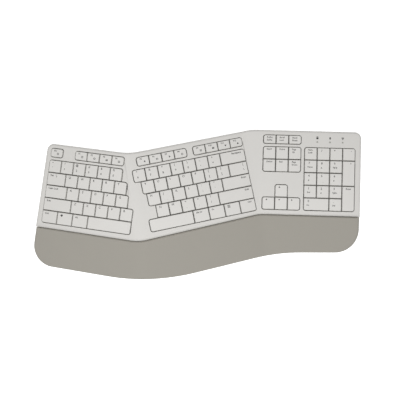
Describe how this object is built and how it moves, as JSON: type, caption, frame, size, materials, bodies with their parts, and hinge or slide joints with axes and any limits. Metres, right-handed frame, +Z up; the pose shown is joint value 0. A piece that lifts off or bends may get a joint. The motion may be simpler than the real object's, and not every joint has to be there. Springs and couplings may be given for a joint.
{
  "type": "ergonomic keyboard",
  "caption": "Split ergonomic keyboard with tented key decks, a moulded palm rest, navigation keys and numpad, fold-out rear feet and a battery bay underneath.",
  "frame": {"origin": "on the desk under the middle of the case plan", "axes": "+X to the user's right along the numpad rows, +Y away from the user, +Z up"},
  "size_m": [0.4902, 0.2304, 0.0465],
  "materials": {
    "case_plastic": "fine spark texture, satin",
    "palm_plastic": "soft-touch lacquer, matt",
    "tray_plastic": "spark texture, matt",
    "key_plastic": "fine texture, satin, printed legends",
    "frame_plastic": "matt",
    "foot_plastic": "matt",
    "dome_rubber": "matt silicone",
    "circuit_film": "printed polyester film",
    "plate_steel": "zinc plated sheet",
    "board_laminate": "solder mask",
    "lens_plastic": "clear moulded",
    "screw_steel": "zinc plated",
    "foot_rubber": "matt",
    "cell_sleeve": "printed sleeve over a steel can",
    "contact_plating": "nickel plated spring steel"
  },
  "bodies": {
    "case": {"top_case": "case_plastic", "bottom_case": "tray_plastic", "palm_rest": "palm_plastic", "key_frames": "frame_plastic", "dome_sheets": "dome_rubber", "circuit_membranes": "circuit_film", "back_plates": "plate_steel", "controller_board": "board_laminate", "indicator_lenses": "lens_plastic", "case_screws": "screw_steel", "rubber_feet": "foot_rubber", "batteries": "cell_sleeve", "battery_contacts": "contact_plating"},
    "tilt_foot_left": {"tilt_foot_left": "foot_plastic"},
    "tilt_foot_right": {"tilt_foot_right": "foot_plastic"},
    "battery_door": {"battery_door": "tray_plastic"},
    "power_switch": {"power_switch": "foot_plastic"},
    "key_left_space": {"key_left_space": "key_plastic"},
    "key_right_space": {"key_right_space": "key_plastic"},
    "key_enter": {"key_enter": "key_plastic"},
    "key_backspace": {"key_backspace": "key_plastic"},
    "key_escape": {"key_escape": "key_plastic"},
    "key_numpad_zero": {"key_numpad_zero": "key_plastic"},
    "key_numpad_plus": {"key_numpad_plus": "key_plastic"},
    "key_arrow_up": {"key_arrow_up": "key_plastic"},
    "keys_left_home_row": {"keys_left_home_row": "key_plastic"},
    "keys_right_home_row": {"keys_right_home_row": "key_plastic"},
    "keys_f1_to_f4": {"keys_f1_to_f4": "key_plastic"},
    "keys_right_number_row": {"keys_right_number_row": "key_plastic"},
    "key_numpad_enter": {"key_numpad_enter": "key_plastic"},
    "key_right_shift": {"key_right_shift": "key_plastic"},
    "key_left_control": {"key_left_control": "key_plastic"},
    "key_left_system": {"key_left_system": "key_plastic"},
    "key_left_alt": {"key_left_alt": "key_plastic"},
    "key_left_shift": {"key_left_shift": "key_plastic"},
    "keys_left_lower_row": {"keys_left_lower_row": "key_plastic"},
    "key_caps_lock": {"key_caps_lock": "key_plastic"},
    "key_tab": {"key_tab": "key_plastic"},
    "keys_left_upper_row": {"keys_left_upper_row": "key_plastic"},
    "keys_left_number_row": {"keys_left_number_row": "key_plastic"},
    "key_right_alt": {"key_right_alt": "key_plastic"},
    "key_right_system": {"key_right_system": "key_plastic"},
    "key_menu": {"key_menu": "key_plastic"},
    "key_right_control": {"key_right_control": "key_plastic"},
    "keys_right_lower_row": {"keys_right_lower_row": "key_plastic"},
    "keys_right_upper_row": {"keys_right_upper_row": "key_plastic"},
    "key_backslash": {"key_backslash": "key_plastic"},
    "keys_f5_to_f8": {"keys_f5_to_f8": "key_plastic"},
    "keys_f9_to_f12": {"keys_f9_to_f12": "key_plastic"},
    "key_arrow_left": {"key_arrow_left": "key_plastic"},
    "key_arrow_down": {"key_arrow_down": "key_plastic"},
    "key_arrow_right": {"key_arrow_right": "key_plastic"},
    "keys_delete_end_page_down": {"keys_delete_end_page_down": "key_plastic"},
    "keys_insert_home_page_up": {"keys_insert_home_page_up": "key_plastic"},
    "keys_print_scroll_pause": {"keys_print_scroll_pause": "key_plastic"},
    "key_numpad_point": {"key_numpad_point": "key_plastic"},
    "keys_numpad_123": {"keys_numpad_123": "key_plastic"},
    "keys_numpad_456": {"keys_numpad_456": "key_plastic"},
    "keys_numpad_789": {"keys_numpad_789": "key_plastic"},
    "keys_numpad_top_row": {"keys_numpad_top_row": "key_plastic"}
  },
  "joints": [
    {"name": "tilt_foot_left_hinge", "type": "hinge", "parent": "case", "child": "tilt_foot_left", "pos_m": [-0.19115, 0.05601, 0.0038], "axis": [1, 0, 0], "range_deg": [0, 95]},
    {"name": "tilt_foot_right_hinge", "type": "hinge", "parent": "case", "child": "tilt_foot_right", "pos_m": [0.20461, 0.09458, 0.0038], "axis": [1, 0, 0], "range_deg": [0, 95]},
    {"name": "battery_door_slide", "type": "slide", "parent": "case", "child": "battery_door", "axis": [1, 0, 0], "range_m": [0, 0.008]},
    {"name": "power_switch_slide", "type": "slide", "parent": "case", "child": "power_switch", "axis": [1, 0, 0], "range_m": [0, 0.004]},
    {"name": "key_left_space_press", "type": "slide", "parent": "case", "child": "key_left_space", "axis": [0.1286, 0.0557, -0.9901], "range_m": [0, 0.0026], "stiffness_N_per_m": 200, "springref_m": -0.001, "deforming": ["dome_sheets"]},
    {"name": "key_right_space_press", "type": "slide", "parent": "case", "child": "key_right_space", "axis": [-0.1274, 0.0084, -0.9918], "range_m": [0, 0.0026], "stiffness_N_per_m": 200, "springref_m": -0.001, "deforming": ["dome_sheets"]},
    {"name": "key_enter_press", "type": "slide", "parent": "case", "child": "key_enter", "axis": [-0.1274, 0.0084, -0.9918], "range_m": [0, 0.0026], "stiffness_N_per_m": 200, "springref_m": -0.001, "deforming": ["dome_sheets"]},
    {"name": "key_backspace_press", "type": "slide", "parent": "case", "child": "key_backspace", "axis": [-0.1274, 0.0084, -0.9918], "range_m": [0, 0.0026], "stiffness_N_per_m": 200, "springref_m": -0.001, "deforming": ["dome_sheets"]},
    {"name": "key_escape_press", "type": "slide", "parent": "case", "child": "key_escape", "axis": [0.1286, 0.0557, -0.9901], "range_m": [0, 0.0026], "stiffness_N_per_m": 200, "springref_m": -0.001, "deforming": ["dome_sheets"]},
    {"name": "key_numpad_zero_press", "type": "slide", "parent": "case", "child": "key_numpad_zero", "axis": [0, 0.0384, -0.9993], "range_m": [0, 0.0026], "stiffness_N_per_m": 200, "springref_m": -0.001, "deforming": ["dome_sheets"]},
    {"name": "key_numpad_plus_press", "type": "slide", "parent": "case", "child": "key_numpad_plus", "axis": [0, 0.0384, -0.9993], "range_m": [0, 0.0026], "stiffness_N_per_m": 200, "springref_m": -0.001, "deforming": ["dome_sheets"]},
    {"name": "key_arrow_up_press", "type": "slide", "parent": "case", "child": "key_arrow_up", "axis": [0, 0.0384, -0.9993], "range_m": [0, 0.0026], "stiffness_N_per_m": 200, "springref_m": -0.001, "deforming": ["dome_sheets"]},
    {"name": "keys_left_home_row_press", "type": "slide", "parent": "case", "child": "keys_left_home_row", "axis": [0.1286, 0.0557, -0.9901], "range_m": [0, 0.0026], "stiffness_N_per_m": 1000, "springref_m": -0.001, "deforming": ["dome_sheets"]},
    {"name": "keys_right_home_row_press", "type": "slide", "parent": "case", "child": "keys_right_home_row", "axis": [-0.1274, 0.0084, -0.9918], "range_m": [0, 0.0026], "stiffness_N_per_m": 1200, "springref_m": -0.001, "deforming": ["dome_sheets"]},
    {"name": "keys_f1_to_f4_press", "type": "slide", "parent": "case", "child": "keys_f1_to_f4", "axis": [0.1286, 0.0557, -0.9901], "range_m": [0, 0.0026], "stiffness_N_per_m": 800, "springref_m": -0.001, "deforming": ["dome_sheets"]},
    {"name": "keys_right_number_row_press", "type": "slide", "parent": "case", "child": "keys_right_number_row", "axis": [-0.1274, 0.0084, -0.9918], "range_m": [0, 0.0026], "stiffness_N_per_m": 1400, "springref_m": -0.001, "deforming": ["dome_sheets"]},
    {"name": "key_numpad_enter_press", "type": "slide", "parent": "case", "child": "key_numpad_enter", "axis": [0, 0.0384, -0.9993], "range_m": [0, 0.0026], "stiffness_N_per_m": 200, "springref_m": -0.001, "deforming": ["dome_sheets"]},
    {"name": "key_right_shift_press", "type": "slide", "parent": "case", "child": "key_right_shift", "axis": [-0.1274, 0.0084, -0.9918], "range_m": [0, 0.0026], "stiffness_N_per_m": 200, "springref_m": -0.001, "deforming": ["dome_sheets"]},
    {"name": "key_left_control_press", "type": "slide", "parent": "case", "child": "key_left_control", "axis": [0.1286, 0.0557, -0.9901], "range_m": [0, 0.0026], "stiffness_N_per_m": 200, "springref_m": -0.001, "deforming": ["dome_sheets"]},
    {"name": "key_left_system_press", "type": "slide", "parent": "case", "child": "key_left_system", "axis": [0.1286, 0.0557, -0.9901], "range_m": [0, 0.0026], "stiffness_N_per_m": 200, "springref_m": -0.001, "deforming": ["dome_sheets"]},
    {"name": "key_left_alt_press", "type": "slide", "parent": "case", "child": "key_left_alt", "axis": [0.1286, 0.0557, -0.9901], "range_m": [0, 0.0026], "stiffness_N_per_m": 200, "springref_m": -0.001, "deforming": ["dome_sheets"]},
    {"name": "key_left_shift_press", "type": "slide", "parent": "case", "child": "key_left_shift", "axis": [0.1286, 0.0557, -0.9901], "range_m": [0, 0.0026], "stiffness_N_per_m": 200, "springref_m": -0.001, "deforming": ["dome_sheets"]},
    {"name": "keys_left_lower_row_press", "type": "slide", "parent": "case", "child": "keys_left_lower_row", "axis": [0.1286, 0.0557, -0.9901], "range_m": [0, 0.0026], "stiffness_N_per_m": 1000, "springref_m": -0.001, "deforming": ["dome_sheets"]},
    {"name": "key_caps_lock_press", "type": "slide", "parent": "case", "child": "key_caps_lock", "axis": [0.1286, 0.0557, -0.9901], "range_m": [0, 0.0026], "stiffness_N_per_m": 200, "springref_m": -0.001, "deforming": ["dome_sheets"]},
    {"name": "key_tab_press", "type": "slide", "parent": "case", "child": "key_tab", "axis": [0.1286, 0.0557, -0.9901], "range_m": [0, 0.0026], "stiffness_N_per_m": 200, "springref_m": -0.001, "deforming": ["dome_sheets"]},
    {"name": "keys_left_upper_row_press", "type": "slide", "parent": "case", "child": "keys_left_upper_row", "axis": [0.1286, 0.0557, -0.9901], "range_m": [0, 0.0026], "stiffness_N_per_m": 1000, "springref_m": -0.001, "deforming": ["dome_sheets"]},
    {"name": "keys_left_number_row_press", "type": "slide", "parent": "case", "child": "keys_left_number_row", "axis": [0.1286, 0.0557, -0.9901], "range_m": [0, 0.0026], "stiffness_N_per_m": 1200, "springref_m": -0.001, "deforming": ["dome_sheets"]},
    {"name": "key_right_alt_press", "type": "slide", "parent": "case", "child": "key_right_alt", "axis": [-0.1274, 0.0084, -0.9918], "range_m": [0, 0.0026], "stiffness_N_per_m": 200, "springref_m": -0.001, "deforming": ["dome_sheets"]},
    {"name": "key_right_system_press", "type": "slide", "parent": "case", "child": "key_right_system", "axis": [-0.1274, 0.0084, -0.9918], "range_m": [0, 0.0026], "stiffness_N_per_m": 200, "springref_m": -0.001, "deforming": ["dome_sheets"]},
    {"name": "key_menu_press", "type": "slide", "parent": "case", "child": "key_menu", "axis": [-0.1274, 0.0084, -0.9918], "range_m": [0, 0.0026], "stiffness_N_per_m": 200, "springref_m": -0.001, "deforming": ["dome_sheets"]},
    {"name": "key_right_control_press", "type": "slide", "parent": "case", "child": "key_right_control", "axis": [-0.1274, 0.0084, -0.9918], "range_m": [0, 0.0026], "stiffness_N_per_m": 200, "springref_m": -0.001, "deforming": ["dome_sheets"]},
    {"name": "keys_right_lower_row_press", "type": "slide", "parent": "case", "child": "keys_right_lower_row", "axis": [-0.1274, 0.0084, -0.9918], "range_m": [0, 0.0026], "stiffness_N_per_m": 1000, "springref_m": -0.001, "deforming": ["dome_sheets"]},
    {"name": "keys_right_upper_row_press", "type": "slide", "parent": "case", "child": "keys_right_upper_row", "axis": [-0.1274, 0.0084, -0.9918], "range_m": [0, 0.0026], "stiffness_N_per_m": 1400, "springref_m": -0.001, "deforming": ["dome_sheets"]},
    {"name": "key_backslash_press", "type": "slide", "parent": "case", "child": "key_backslash", "axis": [-0.1274, 0.0084, -0.9918], "range_m": [0, 0.0026], "stiffness_N_per_m": 200, "springref_m": -0.001, "deforming": ["dome_sheets"]},
    {"name": "keys_f5_to_f8_press", "type": "slide", "parent": "case", "child": "keys_f5_to_f8", "axis": [-0.1274, 0.0084, -0.9918], "range_m": [0, 0.0026], "stiffness_N_per_m": 800, "springref_m": -0.001, "deforming": ["dome_sheets"]},
    {"name": "keys_f9_to_f12_press", "type": "slide", "parent": "case", "child": "keys_f9_to_f12", "axis": [-0.1274, 0.0084, -0.9918], "range_m": [0, 0.0026], "stiffness_N_per_m": 800, "springref_m": -0.001, "deforming": ["dome_sheets"]},
    {"name": "key_arrow_left_press", "type": "slide", "parent": "case", "child": "key_arrow_left", "axis": [0, 0.0384, -0.9993], "range_m": [0, 0.0026], "stiffness_N_per_m": 200, "springref_m": -0.001, "deforming": ["dome_sheets"]},
    {"name": "key_arrow_down_press", "type": "slide", "parent": "case", "child": "key_arrow_down", "axis": [0, 0.0384, -0.9993], "range_m": [0, 0.0026], "stiffness_N_per_m": 200, "springref_m": -0.001, "deforming": ["dome_sheets"]},
    {"name": "key_arrow_right_press", "type": "slide", "parent": "case", "child": "key_arrow_right", "axis": [0, 0.0384, -0.9993], "range_m": [0, 0.0026], "stiffness_N_per_m": 200, "springref_m": -0.001, "deforming": ["dome_sheets"]},
    {"name": "keys_delete_end_page_down_press", "type": "slide", "parent": "case", "child": "keys_delete_end_page_down", "axis": [0, 0.0384, -0.9993], "range_m": [0, 0.0026], "stiffness_N_per_m": 600, "springref_m": -0.001, "deforming": ["dome_sheets"]},
    {"name": "keys_insert_home_page_up_press", "type": "slide", "parent": "case", "child": "keys_insert_home_page_up", "axis": [0, 0.0384, -0.9993], "range_m": [0, 0.0026], "stiffness_N_per_m": 600, "springref_m": -0.001, "deforming": ["dome_sheets"]},
    {"name": "keys_print_scroll_pause_press", "type": "slide", "parent": "case", "child": "keys_print_scroll_pause", "axis": [0, 0.0384, -0.9993], "range_m": [0, 0.0026], "stiffness_N_per_m": 600, "springref_m": -0.001, "deforming": ["dome_sheets"]},
    {"name": "key_numpad_point_press", "type": "slide", "parent": "case", "child": "key_numpad_point", "axis": [0, 0.0384, -0.9993], "range_m": [0, 0.0026], "stiffness_N_per_m": 200, "springref_m": -0.001, "deforming": ["dome_sheets"]},
    {"name": "keys_numpad_123_press", "type": "slide", "parent": "case", "child": "keys_numpad_123", "axis": [0, 0.0384, -0.9993], "range_m": [0, 0.0026], "stiffness_N_per_m": 600, "springref_m": -0.001, "deforming": ["dome_sheets"]},
    {"name": "keys_numpad_456_press", "type": "slide", "parent": "case", "child": "keys_numpad_456", "axis": [0, 0.0384, -0.9993], "range_m": [0, 0.0026], "stiffness_N_per_m": 600, "springref_m": -0.001, "deforming": ["dome_sheets"]},
    {"name": "keys_numpad_789_press", "type": "slide", "parent": "case", "child": "keys_numpad_789", "axis": [0, 0.0384, -0.9993], "range_m": [0, 0.0026], "stiffness_N_per_m": 600, "springref_m": -0.001, "deforming": ["dome_sheets"]},
    {"name": "keys_numpad_top_row_press", "type": "slide", "parent": "case", "child": "keys_numpad_top_row", "axis": [0, 0.0384, -0.9993], "range_m": [0, 0.0026], "stiffness_N_per_m": 800, "springref_m": -0.001, "deforming": ["dome_sheets"]}
  ]
}
